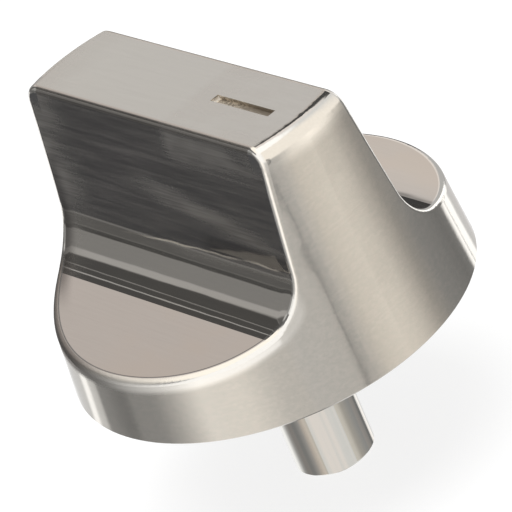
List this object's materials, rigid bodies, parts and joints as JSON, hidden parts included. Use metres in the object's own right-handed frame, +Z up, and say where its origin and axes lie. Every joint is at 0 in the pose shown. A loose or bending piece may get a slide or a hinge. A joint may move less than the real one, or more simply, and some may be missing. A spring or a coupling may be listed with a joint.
{
  "type": "oven control knob",
  "caption": "Oven control knob: satin metal body with a full-width grip between two scooped shelves, a pointer slot and a polished stem for a flatted shaft.",
  "frame": {"origin": "on the shaft axis at the open end of the stem, the lowest point of the knob", "axes": "+Z up the shaft axis from the appliance's panel towards the user, +X along the grip towards its pointer slot, Y across the grip"},
  "size_m": [0.055, 0.055, 0.0582],
  "materials": {
    "satin_body": "zinc casting with a fine brushed satin nickel finish",
    "polished_stem": "mirror polished chrome plate",
    "spring_strip": "plain rolled spring steel"
  },
  "bodies": {
    "root": {"knob_body": "satin_body", "stem": "polished_stem", "shaft_spring": "spring_strip"}
  },
  "joints": []
}
